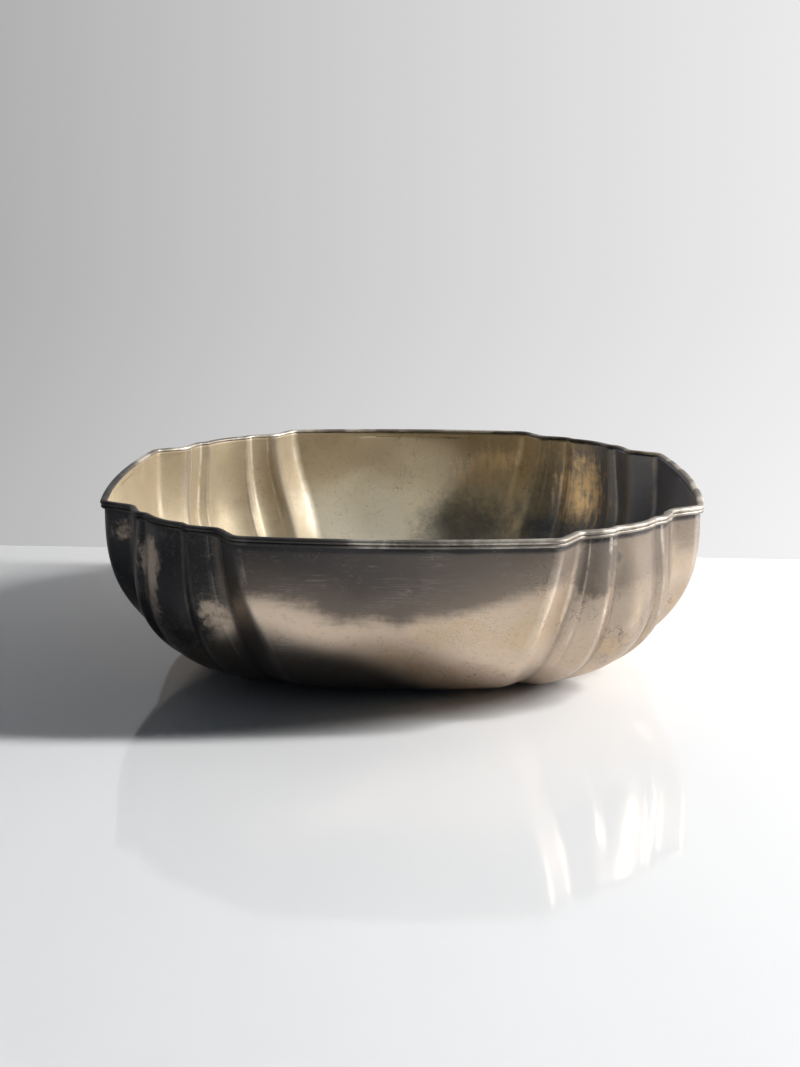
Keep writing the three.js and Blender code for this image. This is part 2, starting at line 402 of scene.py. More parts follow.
disc_shares = np.linspace(0, 1, flat_rings + 1)[1:-1]
underside = flat_disc(outside[:, -1], disc_shares)
floor = flat_disc(inside[:, -1], disc_shares[::-1])
section = np.concatenate([underside, outside[:, ::-1], inside, floor], axis=1)
columns, rows = section.shape[:2]
poles = np.array([[0, 0, 0], [0, 0, sheet_thickness]])
body_points = np.concatenate([section.reshape(-1, 3), poles])
quads = ring_quads(columns, rows)
first = np.arange(columns) * rows
following = (np.arange(columns) + 1) % columns * rows
under_pole, floor_pole = columns * rows, columns * rows + 1
under_fan = np.column_stack([np.full(columns, under_pole), following, first])
floor_fan = np.column_stack([np.full(columns, floor_pole), first, following])
floor_fan[:, 1:] += rows - 1
print("section points", rows, "carried around", columns, "columns")

# %% [markdown]
# No two places on an old bowl have worn alike, and some places carry painted light or shade, so
# the finish has to know where it is. Every point of the body stores numbers for that: how hollow
# or ridged the rim above it is, how far down the wall it lies, and how near it is to the worn
# corner, the black corner of painted shade or a patch.
# A place is given by its bearing, which is seen from above and counted counterclockwise from
# the right, and by its drop, which is 0 at the lip and 1 at the foot.

# %% Where the finish changes
worn_corner = radians(-38)
worn_width = radians(34)
# The black corner at the front left: painted shade, standing in for the dark reflection of the
# bowl's shadow.
dark_corner = radians(-142)
dark_width = radians(21)
# The inside of the right side lies in the shade of its own rim and gets painted slate shade; the
# floor gets an even share of it.
shaded_side = radians(18)
shaded_width = radians(44)
floor_start = 0.72
floor_shade = 0.25
# The left inside faces the lamp and is toned down to tan where the lamp falls hardest: painted
# shade against its glare.
creamy_place = radians(155)
creamy_width = radians(43)
creamy_most = 1.1
# Low on the front left the wall is painted dark: a painted reflection of the bowl's shadow on the
# table.
low_dark_place = radians(-118)
low_dark_edge = 0.43
low_dark_rise = 0.75
low_dark_softness = (-0.20, 0.22)
# The dark film is tarnish, and it also paints the dark reflection of the room: it reaches lowest
# at the middle of each side and lowest of all in the black corner.
tide_at_shoulder = 0.13
tide_more_at_side = 0.31
tide_in_corner = 0.30
tide_more_in_dark = 0.45
flat_drop = 1.2
flat_below_tide = 0.8
hollow_gain = 0.0045
ridge_gain = 0.0040
# A painted shade line runs down each flute, where a crisp crease would show its shadow.
flute_line_width = radians(0.55)
print("the film ends at a drop of", tide_at_shoulder, "to", tide_at_shoulder + tide_more_at_side)

# %% Patches: bearing in degrees, drop, half width in degrees, half height, strength
patches = {
    "rubbed_mark": [
        (-138.2, 0.22, 4.0, 0.13, 1.0),
        (-136.8, 0.42, 2.2, 0.14, 0.65),
        (-125.4, 0.44, 2.4, 0.09, 0.9),
        (-150.2, 0.14, 2.4, 0.07, 0.62),
    ],
    "slate_mark": [(-53.8, 0.18, 4.8, 0.17, 1.3)],
    # painted reflections: gold streaks on the shaded back right of the inside, with a smoother
    # finish there
    "painted_gold_reflection_mark": [(71.0, 0.25, 8.0, 0.16, 1.0), (47.0, 0.34, 6.8, 0.30, 0.95)],
    # painted highlight: a gold glint on the front right corner
    "painted_glint_mark": [(-30.8, 0.70, 2.0, 0.05, 1.3)],
    # painted shadows on the back right of the inside, where the right rim's shadow falls
    "painted_shadow_mark": [(74.0, 0.68, 15.0, 0.26, 1.0), (54.5, 0.40, 3.4, 0.50, 0.9)],
    # painted light: a pool of light low on the back left of the inside
    "painted_light_mark": [(104.0, 0.62, 15.0, 0.30, 1.0)],
}
# More of that painted tan shade, in two small patches on the back left.
creamy_patches = [(119.0, 0.45, 3.6, 0.60, 0.5), (122.0, 0.25, 2.4, 0.30, 0.5)]
print("kinds of patch", list(patches))


# %% Nearness to a place
def turned_by(bearing, middle):
    """The angle between two bearings, taken the short way round."""
    return np.abs((bearing - middle + np.pi) % (2 * np.pi) - np.pi)


def nearness(bearing, middle, width, flatness=2):
    """1 at a bearing and less around it: exp(-(angle / width)^flatness)."""
    return np.exp(-((turned_by(bearing, middle) / width) ** flatness))


def marks(places, drop):
    """Oval patches over the wall: each has its strength at its middle and fades outwards as
    exp(-(a^2 + d^2)^1.5), with a and d the way from the middle in half widths and heights."""
    total = np.zeros_like(drop)
    for bearing_at, drop_at, half_width, half_height, strength in places:
        across = turned_by(rim_bearing, radians(bearing_at))[:, None] / radians(half_width)
        off_middle = across**2 + ((drop - drop_at) / half_height) ** 2
        total += strength * np.exp(-(off_middle**1.5))
    return total


def along_section(wall_values, under_value, floor_value):
    """One value for every point of the body: a wall value used for outside and inside alike,
    and a plain value on the underside and on the floor."""
    ends = len(disc_shares)
    values = np.empty((columns, rows))
    values[:, :ends] = under_value
    values[:, ends : ends + outside.shape[1]] = wall_values[:, ::-1]
    values[:, ends + outside.shape[1] : rows - ends] = wall_values
    values[:, rows - ends :] = floor_value
    return np.append(values.ravel(), [under_value, floor_value])


# %% Values stored on the body
full_share = np.concatenate([np.ones((columns, collar_rows)), out_share], axis=1)
drop = 1 - outside[..., 2] / lip_top
from_flute = off_diagonal(rim_bearing) - corner_angle(flute_foot)
much_worn = nearness(rim_bearing, worn_corner, worn_width)
near_dark = nearness(rim_bearing, dark_corner, dark_width, 4)
side_share = np.cos(2 * rim_bearing) ** 2
in_lobes = lobe_share(rim_bearing)
tide_drop = (tide_at_shoulder + tide_more_at_side * side_share) * (1 - in_lobes)
tide_drop += tide_in_corner * in_lobes
tide_drop += tide_more_in_dark * near_dark
into_floor = smooth_step(drop, floor_start, 1.0)
# painted shade on the right inside, fading into an even share on the floor
shaded_wall = nearness(rim_bearing, shaded_side, shaded_width)[:, None] * (1 - into_floor)
shaded_wall += floor_shade * into_floor
creamy_wall = nearness(rim_bearing, creamy_place, creamy_width, 4)[:, None]
creamy_wall = np.minimum(creamy_wall + marks(creamy_patches, drop), creamy_most)
low_edge = low_dark_edge + low_dark_rise * turned_by(rim_bearing, low_dark_place)[:, None]
wall_only = {
    "hollow": np.clip(-rim_bend * hollow_gain, 0, 1)[:, None] * full_share,
    "ridge": np.clip(rim_bend * ridge_gain, 0, 1)[:, None] * full_share,
    "flute_line": np.exp(-((from_flute / flute_line_width) ** 2))[:, None] * full_share,
    "worn": much_worn[:, None],
    # the black corner, where shade is painted
    "dark": near_dark[:, None],
    # the painted reflection of the table's shadow, low on the front left
    "low_dark": smooth_step(drop - low_edge, *low_dark_softness),
    # painted tan shade over the lamp-lit left inside
    "creamy": creamy_wall * (1 - into_floor),
}
wall_only |= {key: marks(places, drop) for key, places in patches.items()}
body_values = {key: along_section(values, 0, 0) for key, values in wall_only.items()}
body_values["drop"] = along_section(drop, flat_drop, flat_drop)
body_values["below_tide"] = along_section(
    drop - tide_drop[:, None], flat_below_tide, flat_below_tide
)
body_values["shaded"] = along_section(shaded_wall, 0, floor_shade)
inner = np.ones((columns, rows))
inner[:, : len(disc_shares) + outside.shape[1]] = 0
body_values["inner"] = np.append(inner.ravel(), [0, 1])

body = add_mesh(
    "bowl_body_surface",
    body_points,
    quads.tolist() + under_fan.tolist() + floor_fan.tolist(),
    body_values,
)
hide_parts("bowl_body")
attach(body, "root")

# %% [markdown]
# The rim moulding is a drawn wire: a round bead above, a narrow dark groove, and a flatter band
# below. Its section is drawn once and carried along the outline. Where its two ends
# meet, a lump of solder was left, so the section swells there for a few millimetres.

# %% Sizes of the moulding, in metres, and where it is dark
bead_reach = wire_high[1] - side_middle
bead_height = 0.0019
bead_inner_reach = 0.00125
crown_height = 0.0011
band_reach = 0.0014
band_height = 0.0013
quirk_reach = 0.0010
seat_gap = 0.0003
joint_bearing = radians(-35.0)
joint_length = 0.0013
joint_swell = 0.30
groove_gain = 0.0006
wire_dark_width = radians(48)
wire_shade_place = radians(52)
wire_shade_width = radians(26)
wire_shade_share = 0.6


def moulding_section():
    """Reach out from the wall and height, counterclockwise: band, groove, bead, crown, seat."""
    top = wire_high[2]
    bead_middle = top - bead_height / 2
    quirk = top - bead_height
    band_foot = quirk - band_height
    corners = [
        [seat_gap, band_foot],
        [band_reach * 0.80, band_foot],
        [band_reach, band_foot + band_height * 0.20],
        [band_reach * 0.98, band_foot + band_height * 0.84],
        [quirk_reach, quirk],
        [bead_reach * 0.80, bead_middle - bead_height * 0.42],
        [bead_reach, bead_middle - bead_height * 0.08],
        [bead_reach * 0.90, bead_middle + bead_height * 0.26],
        [bead_reach * 0.45, top],
        [-bead_inner_reach * 0.35, top],
        [-bead_inner_reach * 0.90, top - crown_height * 0.35],
        [-bead_inner_reach, top - crown_height],
        [seat_gap, top - crown_height],
    ]
    return np.array(corners)


# %% Rim moulding
section_points, _, section_bend, _ = softened(
    moulding_section(), softness=0.00007, count=44, crowding=0.0003, samples=2048
)
joint_place = rim[np.argmin(np.abs(rim_bearing - joint_bearing))]
to_joint = np.hypot(*(rim - joint_place).T)
lump = 1 + joint_swell * np.exp(-((to_joint / joint_length) ** 2))
section_middle = section_points.mean(axis=0)
swollen = section_middle + (section_points - section_middle)[None] * lump[:, None, None]
swollen[..., 1] = np.minimum(swollen[..., 1], wire_high[2])
wire_plan = rim[:, None] + rim_outward[:, None] * swollen[..., :1]
wire_grid = np.dstack([wire_plan, swollen[..., 1]])
wire_faces = ring_quads(len(rim), len(section_points), closed_rows=True)
groove = np.clip(-section_bend * groove_gain, 0, 1)
low_side = np.clip((wire_high[2] - bead_height - section_points[:, 1]) / band_height, 0, 1)
# Where the moulding is painted dark: the black corner's painted shade, and painted shade on the
# back right.
wire_dark = nearness(rim_bearing, dark_corner, wire_dark_width)
wire_dark += wire_shade_share * nearness(rim_bearing, wire_shade_place, wire_shade_width)
wire_values = {
    "dark": np.broadcast_to(wire_dark[:, None], wire_grid.shape[:2]),
    "worn": np.broadcast_to(much_worn[:, None], wire_grid.shape[:2]),
    "groove": np.broadcast_to(groove, wire_grid.shape[:2]),
    "band": np.broadcast_to(low_side, wire_grid.shape[:2]),
}
wire = add_mesh("rim_wire_surface", wire_grid.reshape(-1, 3), wire_faces.tolist(), wire_values)
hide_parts("rim_wire")
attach(wire, "root")

# %% [markdown]
# The finishes are worked out by nodes. Building node trees by hand hides the arithmetic, so a
# socket is wrapped in a small class: sums and products of sockets add their own Math nodes,
# and one method adds any other node. A finish then reads like a recipe.


# %% A socket that can be reckoned with
class Signal:
    """A shader socket that behaves like a number in an expression."""

    def __init__(self, tree, socket):
        self.tree = tree
        self.socket = socket

    def make(self, kind, settings=None, inputs=None, output=0):
        """Add a node of this kind, apply its settings, then set or link its inputs by name."""
        node = self.tree.nodes.new("ShaderNode" + kind)
        for key, value in (settings or {}).items():
            setattr(node, key, value)
        for key, value in (inputs or {}).items():
            socket = pick(node.inputs, key)
            if isinstance(value, Signal):
                self.tree.links.new(value.socket, socket)
            else:
                socket.default_value = value
        return Signal(self.tree, pick(node.outputs, output))

    def reckon(self, operation, *values):
        """A Math node on this socket and the values."""
        numbered = dict(enumerate((self, *values)))
        return self.make("Math", {"operation": operation}, numbered)

    def __add__(self, other):
        return self.reckon("ADD", other)

    def __sub__(self, other):
        return self.reckon("SUBTRACT", other)

    def __mul__(self, other):
        return self.reckon("MULTIPLY", other)

    __radd__ = __add__
    __rmul__ = __mul__

    def __rsub__(self, other):
        return (self * -1) + other

    def between(self, low, high):
        """0 below low, 1 above high and a smooth step between them."""
        limits = {"Value": self, "From Min": low, "From Max": high}
        return self.make("MapRange", {"interpolation_type": "SMOOTHSTEP"}, limits)

    def blend(self, colour_at_0, colour_at_1):
        """The colour that this mask picks between two others."""
        choice = {"Factor": self, "A": colour_at_0, "B": colour_at_1}
        return self.make("Mix", {"data_type": "RGBA"}, choice)


def pick(sockets, key):
    """A socket by its number, or by its name among those in use."""
    if isinstance(key, int):
        return sockets[key] if key else next(s for s in sockets if s.enabled)
    return next(s for s in sockets if s.enabled and s.name == key)


# %% Start and end of a material
def new_finish(name):
    """A material with one Principled shader, and the object's own coordinates as a Signal."""
    material = bpy.data.materials.new(name)
    material.use_nodes = True
    tree = material.node_tree
    shader = next(node for node in tree.nodes if node.type == "BSDF_PRINCIPLED")
    start = Signal(tree, None)
    return material, shader, start.make("TexCoord", output="Object")


def connect(shader, signals):
    """Link each signal to the shader's socket of that name."""
    for key, signal in signals.items():
        signal.tree.links.new(signal.socket, shader.inputs[key])


def colour(red, green, blue):
    """A colour with full opacity."""
    return (red, green, blue, 1.0)


def noise(place, scale, detail=4.0, roughness=0.55, distortion=0.0):
    """Cloudy noise around 0.5, with its scale in features per metre."""
    values = {"Vector": place, "Scale": scale, "Detail": detail, "Roughness": roughness}
    values["Distortion"] = distortion
    return place.make("TexNoise", None, values)


def stretched(place, scale):
    """Coordinates multiplied by a scale for each direction, for noise that runs one way."""
    return place.make("Mapping", None, {"Vector": place, "Scale": scale})


def stored(place, name):
    """A value stored on the mesh."""
    return place.make("Attribute", {"attribute_name": name}, output="Fac")


# %% [markdown]
# Old silver plate is full of small marks. Wiping and polishing leave hairlines that run for a
# few centimetres in loosely shared directions, and damp leaves dark pin spots. A hairline can
# be had from noise stretched along one direction: the thin band where it passes its middle
# value is a long, slightly wandering line. Three directions crossed look like years of use.


# %% Hairlines, worm scratches and pits
def hairlines(place, turn, along, across, width):
    """1 on thin lines and 0 elsewhere: a band of half width around the middle of noise that is
    stretched along one direction."""
    scale = (along, across, across)
    turned = place.make("Mapping", None, {"Vector": place, "Rotation": turn, "Scale": scale})
    value = noise(turned, 1.0, detail=2.0, roughness=0.4, distortion=0.15)
    off_middle = (value - 0.5).reckon("ABSOLUTE")
    return 1 - off_middle.between(0.0, width)


def worm_scratches(place, scale, width):
    """Short wandering lines: where unstretched noise passes its middle value."""
    value = noise(place, scale, detail=3.0, roughness=0.5, distortion=0.8)
    off_middle = (value - 0.5).reckon("ABSOLUTE")
    return 1 - off_middle.between(0.0, width)


def pits(place, scale, size):
    """1 at the middles of scattered cells and 0 a share of a cell away from them."""
    settings = {"Vector": place, "Scale": scale}
    cells = place.make("TexVoronoi", {"feature": "F1"}, settings, "Distance")
    return 1 - cells.between(size * 0.4, size)


# %% [markdown]
# The body's finish is laid on in layers. Outside there is clean plate, then the dark film that
# ends in a
# ragged tide: it is tarnish, and it also paints the dark reflection of the room, darkest near the
# lip.
# Then come the painted shade of the black corner, patches where the film is rubbed off, and a
# painted gold glint. Inside the plate is yellower, with a brown stain, painted tan shade where
# the lamp falls hardest on the left, a painted pool of light, a painted shadow, painted slate
# shade and painted gold reflections. Over both come the dark hollows, painted shade lines in the
# flutes, old polish and a painted shadow under the moulding, the painted reflection of the
# table's shadow low in front, the rubbed ridges and the small marks. A mask places each layer,
# noise makes its edge ragged, and its share is the most that it hides of those below.

# %% Colours of plate and film, and of painted light and shade
clean_plate = colour(0.68, 0.545, 0.42)
golden_plate = colour(0.60, 0.42, 0.22)
rubbed_plate = colour(0.84, 0.79, 0.72)
grey_film = colour(0.068, 0.062, 0.060)
brown_film = colour(0.17, 0.14, 0.115)
black_polish_and_painted_shade = colour(0.038, 0.039, 0.043)
painted_shadow_reflection = colour(0.048, 0.048, 0.052)
inner_plate = colour(0.86, 0.77, 0.58)
inner_film = colour(0.44, 0.35, 0.225)
painted_light_cream = colour(0.96, 0.92, 0.78)
painted_tan_shade = colour(0.26, 0.205, 0.130)
painted_shadow_grey = colour(0.075, 0.092, 0.110)
slate_painted_shade = colour(0.085, 0.125, 0.235)
painted_gold_glint = colour(0.90, 0.70, 0.46)

# %% Shares of the layers
worn_off_share = 0.55
rubbed_off_share = 0.62
slated_share = 0.88
painted_black_share = 0.85
handled_share = 0.55
golden_share = 0.35
painted_glint_share = 0.85
deep_stain_share = 0.75
thin_stain_share = 0.20
painted_light_share = 0.85
painted_shadow_share = 0.62
slate_shade_share = 0.84
painted_gold_reflection_share = 0.80
shut_in_polish_and_painted_shadow_share = 0.85
low_painted_reflection_share = 0.80
fleck_share = 0.20
scratch_share = 0.09
spot_share = 0.45
print("gold hides", painted_gold_reflection_share, "of what is below it and scratches hide", scratch_share)

# %% [markdown]
# Four noises of different sizes do most of the work: clouds of 6 cm, patches of 2 cm, grain
# of 4 mm and flecks of 2 mm. Each swings around 0.5, so what is added to a mask is its swing,
# which moves the edge of the mask to and fro and leaves it where it was on average.

# %% The stored values and the clouds of the body
# The body's finish: tarnished silver plate, with painted light and shade laid into its colour.
tarnish_and_painted_light_finish, body_shader, place = new_finish("tarnished_silver_plate")
inner_side = stored(place, "inner")
outer_side = 1 - inner_side
way_down = stored(place, "drop")
below_tide = stored(place, "below_tide")
worn = stored(place, "worn")
shaded = stored(place, "shaded")
dark = stored(place, "dark")
cloud = noise(place, 17.0, detail=5.0, roughness=0.6, distortion=0.4)
patch = noise(place, 62.0, detail=5.0, roughness=0.62, distortion=0.5)
fleck = noise(place, 520.0, detail=3.0, roughness=0.6)
grain = noise(place, 230.0, detail=4.0, roughness=0.65)
smear = noise(stretched(place, (60.0, 60.0, 620.0)), 1.0, detail=3.0, roughness=0.6)
runs = noise(stretched(place, (420.0, 420.0, 60.0)), 1.0, detail=3.0, roughness=0.6)
cloud_swing = cloud - 0.5
patch_swing = patch - 0.5
fleck_swing = fleck - 0.5
ragged = patch_swing * 1.6 + (grain - 0.5) * 2.6 + fleck_swing * 0.6
print("nodes for the clouds", len(tarnish_and_painted_light_finish.node_tree.nodes))

# %% Scratches and spots of the body
lines = hairlines(place, (0.3, 0.2, 0.5), along=24.0, across=620.0, width=0.030)
cross_lines = hairlines(place, (1.2, 0.4, 2.1), along=30.0, across=780.0, width=0.026)
fine_lines = hairlines(place, (0.6, 1.3, 1.1), along=40.0, across=1300.0, width=0.034)
scratched = (lines + cross_lines * 0.8 + fine_lines * 0.6) * patch.between(0.30, 0.70)
worm_places = (noise(place, 55.0, detail=2.0) + worn * 0.09).between(0.56, 0.64)
worms = worm_scratches(place, scale=150.0, width=0.013) * worm_places
damp = noise(place, 48.0, detail=3.0, roughness=0.6)
spot_places = (damp + worn * 0.05).between(0.56, 0.66)
spots = pits(place, scale=1150.0, size=0.32) * spot_places
print("nodes for the small marks", len(tarnish_and_painted_light_finish.node_tree.nodes))

# %% Outside of the body
# The dark film: tarnish, and a painted dark reflection of the room over the upper wall.
tide = below_tide + cloud_swing * 0.26 + patch_swing * 0.12 + fleck_swing * 0.05
tide = tide + (smear - 0.5) * 0.07  # 0 on the tide line, negative above it
tarnish_and_painted_dark = (1 - tide.between(-0.07, 0.07)) * outer_side
tarnish_and_painted_dark_depth = tarnish_and_painted_dark * (1 - worn * worn_off_share)
rubbed_off = (stored(place, "rubbed_mark") * 1.4 - 0.2 + ragged * 0.9).between(0.20, 1.1)
slated = (stored(place, "slate_mark") * 1.2 - 0.1 + ragged * 0.5).between(0.25, 0.85)
slated = slated * outer_side
tarnish_and_painted_dark_depth = tarnish_and_painted_dark_depth * (1 - rubbed_off * rubbed_off_share)
tarnish_and_painted_dark_depth = tarnish_and_painted_dark_depth.reckon("MAXIMUM", slated * slated_share)
# The film is painted darkest high up, where it stands in for the room's dark reflection.
lightness = (patch * 0.35 + cloud * 0.65 - 0.5) * 0.9 + (below_tide + 0.17) * 3.2 + 0.35
tarnish_and_painted_dark_colour = lightness.between(0.0, 1.0).blend(grey_film, brown_film)
# The black corner: the film is painted nearly black there, as painted shade.
painted_black_corner = dark * (1 - patch.between(0.57, 0.63) * 0.6) * painted_black_share
tarnish_and_painted_dark_colour = painted_black_corner.blend(tarnish_and_painted_dark_colour, black_polish_and_painted_shade)
outer = tarnish_and_painted_dark_depth.blend(clean_plate, tarnish_and_painted_dark_colour)
handled = (worn * 0.75 - 0.28 + cloud_swing * 0.5).between(0.0, 0.6)
outer = (handled * handled_share * outer_side).blend(outer, brown_film)
golden = (patch * 0.5 + cloud * 0.5).between(0.50, 0.60) * (1 - tarnish_and_painted_dark)
outer = (golden * golden_share).blend(outer, golden_plate)
# A painted gold highlight on the front right corner.
painted_glint = (stored(place, "painted_glint_mark") + ragged * 0.4).between(0.2, 1.0)
outer = (painted_glint * painted_glint_share).blend(outer, painted_gold_glint)
print("nodes with the outside", len(tarnish_and_painted_light_finish.node_tree.nodes))

# %% Inside of the body
inner_tide = way_down + cloud_swing * 0.9 + patch_swing * 0.25
inner_stain = (1 - inner_tide.between(0.10, 0.62)) * deep_stain_share
thin_stain = (cloud * 0.6 + patch * 0.4).between(0.50, 0.62)
inner_stain = inner_stain + thin_stain * thin_stain_share
inner_colour = inner_stain.blend(inner_plate, inner_film)
# Painted tan shade over the lamp-lit left inside.
painted_lamp_side_shade = stored(place, "creamy") * (0.85 + patch_swing * 0.6)
inner_colour = painted_lamp_side_shade.blend(inner_colour, painted_tan_shade)
# A painted pool of light low on the back left of the inside.
painted_light = stored(place, "painted_light_mark") + patch_swing * 0.8 + cloud_swing * 0.6
inner_colour = (painted_light.between(0.1, 1.0) * painted_light_share).blend(inner_colour, painted_light_cream)
# Painted shadow of the right rim on the back of the inside.
painted_shadow = (stored(place, "painted_shadow_mark") * 1.2 - 0.1 + ragged * 0.5).between(0.0, 1.2)
inner_colour = (painted_shadow * painted_shadow_share).blend(inner_colour, painted_shadow_grey)
# Painted slate shade over the right inside, which lies in the shade of its own rim.
slate_shade = (shaded + cloud_swing * 0.9 + patch_swing * 0.5).between(0.34, 0.70)
inner_colour = (slate_shade * slate_shade_share).blend(inner_colour, slate_painted_shade)
# Painted gold reflections in the shaded back right of the inside.
painted_gold_reflection = stored(place, "painted_gold_reflection_mark") * 1.4 - 0.3 + ragged * 0.7 + (runs - 0.5) * 2.2
painted_gold_reflection = painted_gold_reflection.between(0.15, 1.3)
inner_colour = (painted_gold_reflection * painted_gold_reflection_share).blend(inner_colour, painted_gold_glint)
print("nodes with the inside", len(tarnish_and_painted_light_finish.node_tree.nodes))

# %% Hollows, ridges, small marks and painted shade on both sides
metal_colour = inner_side.blend(outer, inner_colour)
# Dark just under the moulding: old polish shut in there, and a painted shadow of the moulding.
under_moulding = 1 - (way_down + patch_swing * 0.02).between(0.042, 0.062)
shut_in_polish_and_painted_shadow = under_moulding * outer_side * shut_in_polish_and_painted_shadow_share
metal_colour = shut_in_polish_and_painted_shadow.blend(metal_colour, black_polish_and_painted_shade)
recess = stored(place, "hollow").between(0.30, 0.90)
recess = recess * (patch.between(0.40, 0.62) * 0.40 + 0.25)
# A painted shade line along each flute, added to the dark patina of the hollows.
flute_shade = stored(place, "flute_line") * (0.62 + patch_swing * 0.8)
metal_colour = recess.reckon("MAXIMUM", flute_shade).blend(metal_colour, brown_film)
# Painted reflection of the bowl's shadow on the table, low on the front left.
low_painted_reflection = (stored(place, "low_dark") + cloud_swing * 0.3).between(0.15, 0.85)
metal_colour = (low_painted_reflection * outer_side * low_painted_reflection_share).blend(metal_colour, painted_shadow_reflection)
rubbed = stored(place, "ridge").between(0.25, 0.95) * patch.between(0.42, 0.60)
rubbed = rubbed * (1 - dark * 0.8) * (0.26 + worn * 0.14)
metal_colour = rubbed.blend(metal_colour, rubbed_plate)
flecked = fleck_swing.between(0.05, 0.22)
metal_colour = (flecked * fleck_share).blend(metal_colour, brown_film)
metal_colour = (scratched.between(0.2, 1.0) * scratch_share).blend(metal_colour, rubbed_plate)
metal_colour = (worms * (0.50 + worn * 0.35)).blend(metal_colour, brown_film)
metal_colour = (spots * spot_share).blend(metal_colour, brown_film)
print("nodes with every colour", len(tarnish_and_painted_light_finish.node_tree.nodes))

# %% Shine and relief of the body
tarnished_and_painted_dark = tarnish_and_painted_dark_depth + shut_in_polish_and_painted_shadow + inner_side * inner_stain * 0.5
polished = (shaded * 0.9 + painted_gold_reflection * 0.8).between(0.0, 1.2) * 0.28
dullness = 0.36 + inner_side * (0.27 - polished) + tarnished_and_painted_dark * 0.05
dullness = dullness + cloud_swing * 0.12 + fleck_swing * 0.10
dullness = dullness + scratched * 0.05 + spots * 0.2 + slated * 0.22
relief = patch * 0.35 + fleck * 0.10 - scratched * 0.10 - spots * 0.35 - worms * 0.25
relief_values = {"Height": relief, "Distance": 0.00010, "Strength": 0.55}
connect(body_shader, {
    "Base Color": metal_colour,
    "Metallic": 0.96 - tarnish_and_painted_dark_depth * 0.10 - inner_side * (0.40 - shaded * 0.30),
    "Roughness": dullness,
    "Normal": place.make("Bump", None, relief_values),
})
body.data.materials.append(tarnish_and_painted_light_finish)
print("nodes in the body's finish", len(tarnish_and_painted_light_finish.node_tree.nodes))

# %% [markdown]
# The moulding is handled most, so its bead is bright where it is worn and dull where it isn't,
# nearly black over the black corner, where its shade is painted, painted darker on the back
# right, and dark again where the groove holds old polish.

# %% Worn silver plate with painted shade, for the moulding
bright_plate = colour(0.70, 0.645, 0.56)
dull_plate = colour(0.25, 0.222, 0.190)
wire_painted_black_share = 0.85
wire_fleck_share = 0.35
wire_groove_share = 0.70

worn_plate, wire_shader, wire_place = new_finish("polished_silver_plate")
wire_cloud = noise(wire_place, 40.0, detail=5.0, roughness=0.6, distortion=0.3)
wire_fleck = noise(wire_place, 700.0, detail=4.0, roughness=0.6)
wire_lines = hairlines(wire_place, (0.2, 0.5, 0.7), along=60.0, across=1500.0, width=0.04)
dulled = wire_cloud + stored(wire_place, "band") * 0.06 + stored(wire_place, "worn") * 0.03
dulled = dulled.between(0.36, 0.56)
wire_colour = dulled.blend(bright_plate, dull_plate)
# Painted shade: the moulding goes nearly black over the black corner and darker on the back
# right.
painted_black_on_wire = (stored(wire_place, "dark") + (wire_cloud - 0.5) * 0.6).between(0.15, 0.70)
wire_colour = (painted_black_on_wire * wire_painted_black_share).blend(wire_colour, black_polish_and_painted_shade)
wire_flecked = (wire_fleck - 0.5).between(0.06, 0.2)
wire_colour = (wire_flecked * wire_fleck_share).blend(wire_colour, brown_film)
in_groove = stored(wire_place, "groove").between(0.20, 0.90)
wire_colour = (in_groove * wire_groove_share).blend(wire_colour, grey_film)
wire_relief = wire_cloud * 0.5 + wire_fleck * 0.2 - wire_lines * 0.12
wire_relief_values = {"Height": wire_relief, "Distance": 0.00010, "Strength": 0.6}
connect(wire_shader, {
    "Base Color": wire_colour,
    "Roughness": 0.47 + dulled * 0.10 + (wire_fleck - 0.5) * 0.16 + wire_lines * 0.06,
    "Normal": wire_place.make("Bump", None, wire_relief_values),
})
wire_shader.inputs["Metallic"].default_value = 0.95
wire.data.materials.append(worn_plate)
print("nodes in the moulding's finish", len(worn_plate.node_tree.nodes))

# %% [markdown]
# The bowl stands on a smooth white table a hand's width in front of a plain pale wall.
# Both are single sheets, because only their brightness and the soft mirror in the table matter.
# Each shows only its front face, so that the bowl can also be looked at from behind and
# from below.


# %% Table and wall
def add_sheet(name, corners):
    """A flat stage sheet through four corners."""
    mesh = bpy.data.meshes.new(name)
    mesh.from_pydata(corners, [], [tuple(range(len(corners)))])
    thing = bpy.data.objects.new(name, mesh)
    bpy.context.collection.objects.link(thing)
    return thing


table_reach = 3.0
table_gap = 0.0002
wall_distance = 0.1615
wall_turn = radians(-2.18)
wall_height = 2.0

table_corners = [(-table_reach, -table_reach), (table_reach, -table_reach)]
table_corners += [(table_reach, table_reach), (-table_reach, table_reach)]
table = add_sheet("table", [(x, y, -table_gap) for x, y in table_corners])
wall_step = np.array([np.cos(wall_turn), np.sin(wall_turn)]) * table_reach
wall_foot = np.array([0.0, wall_distance])
left, right = wall_foot - wall_step, wall_foot + wall_step
wall_corners = [(*left, -table_gap), (*right, -table_gap), (*right, wall_height)]
wall_corners += [(*left, wall_height)]
backdrop = add_sheet("backdrop", wall_corners)
print("wall stands behind the middle of the bowl by", wall_distance)


# %% One-sided finishes for the sheets
def show_front_only(place, front):
    """End a material so that its front face is the given shader and its back isn't there."""
    from_behind = place.make("NewGeometry", output="Backfacing")
    choice = {0: from_behind, 1: front, 2: place.make("BsdfTransparent")}
    one_sided = place.make("MixShader", None, choice)
    ending = next(node for node in place.tree.nodes if node.type == "OUTPUT_MATERIAL")
    place.tree.links.new(one_sided.socket, ending.inputs["Surface"])


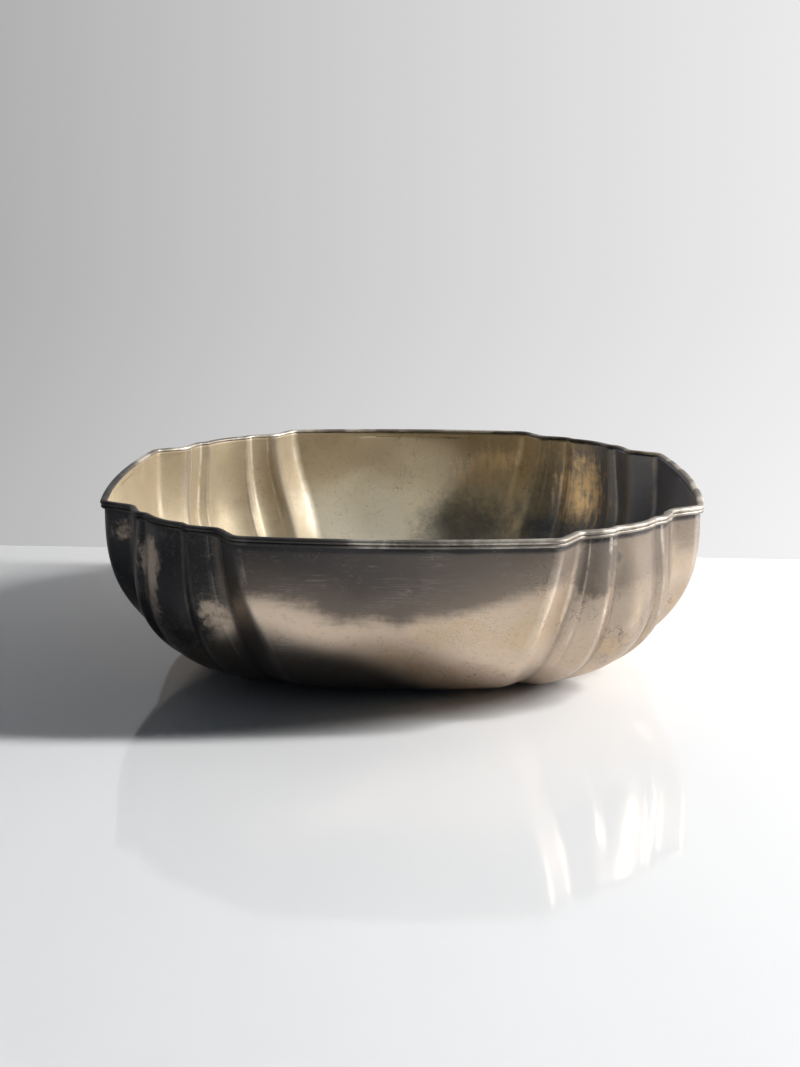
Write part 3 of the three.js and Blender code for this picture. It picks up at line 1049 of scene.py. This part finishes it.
table_white, table_shader, table_place = new_finish("table_white")
table_shade = noise(table_place, 3.0, detail=2.0).between(0.3, 0.7)
table_colour = table_shade.blend(colour(0.78, 0.78, 0.785), colour(0.80, 0.80, 0.80))
connect(table_shader, {"Base Color": table_colour})
table_shader.inputs["Roughness"].default_value = 0.06
show_front_only(table_place, Signal(table_place.tree, table_shader.outputs["BSDF"]))
table.data.materials.append(table_white)

# %% [markdown]
# The lamp stands on one side, so a real wall would fade evenly from right to left. A single
# painted sheet doesn't fade as softly, so its brightness as seen, or as mirrored in the bowl
# and the table, is set directly: dim on the left, bright on the right, a little brighter near
# the table. The light that it throws on the bowl is still that of plain white paint.

# %% Finish of the wall
wall_dim_at, wall_bright_at = -0.62, 0.52
wall_dim_level = 0.22
wall_level_rise = 0.76
wall_foot_rise = 0.07
wall_foot_low, wall_foot_high = -0.02, 0.16

wall_white, wall_shader, wall_place = new_finish("wall_white")
wall_shade = noise(wall_place, 2.0, detail=2.0)
wall_colour = wall_shade.blend(colour(0.86, 0.86, 0.87), colour(0.88, 0.88, 0.88))
connect(wall_shader, {"Base Color": wall_colour})
wall_shader.inputs["Roughness"].default_value = 0.9
sideways = wall_place.make("SeparateXYZ", None, {"Vector": wall_place}, "X")
upwards = wall_place.make("SeparateXYZ", None, {"Vector": wall_place}, "Z")
left_to_right = sideways.between(wall_dim_at, wall_bright_at)
near_table = (1 - upwards.between(wall_foot_low, wall_foot_high)) * wall_foot_rise
wall_level = wall_dim_level + left_to_right * wall_level_rise + near_table
glow_values = {"Color": colour(1.0, 0.995, 1.0), "Strength": wall_level}
seen_wall = wall_place.make("Emission", None, glow_values)
seen = wall_place.make("LightPath", output="Is Camera Ray")
for other_ray in ("Is Glossy Ray", "Is Transmission Ray"):
    seen = seen.reckon("MAXIMUM", wall_place.make("LightPath", output=other_ray))
lit_wall = Signal(wall_place.tree, wall_shader.outputs["BSDF"])
wall_front = wall_place.make("MixShader", None, {0: seen, 1: lit_wall, 2: seen_wall})
show_front_only(wall_place, wall_front)
backdrop.data.materials.append(wall_white)

# %% [markdown]
# One soft lamp, tall and narrow like a window, stands on the right. It throws the long shadow
# to the left and leaves the far side of the bowl dark. A dim, slightly blue surround fills
# the rest.

# %% Lamp and surround
window_place = (1.95, 0.05, 1.08)
window_size = (0.24, 1.10)
window_power = 144.0
surround_level = 0.050
surround_tint = (0.80, 1.00, 1.25)


def add_window(name, place, size, power):
    """A rectangular lamp that faces the bowl."""
    lamp = bpy.data.lights.new(name, "AREA")
    lamp.shape = "RECTANGLE"
    lamp.size, lamp.size_y = size
    lamp.energy = power
    thing = bpy.data.objects.new(name, lamp)
    bpy.context.collection.objects.link(thing)
    towards_bowl = -Vector(place)
    thing.rotation_euler = towards_bowl.to_track_quat("-Z", "Y").to_euler()
    thing.location = place


add_window("window", window_place, window_size, window_power)
world = bpy.data.worlds.new("surround")
world.use_nodes = True
surround_colour = colour(*(surround_level * part for part in surround_tint))
world.node_tree.nodes["Background"].inputs["Color"].default_value = surround_colour
bpy.context.scene.world = world
print("lamp power in watts", window_power)
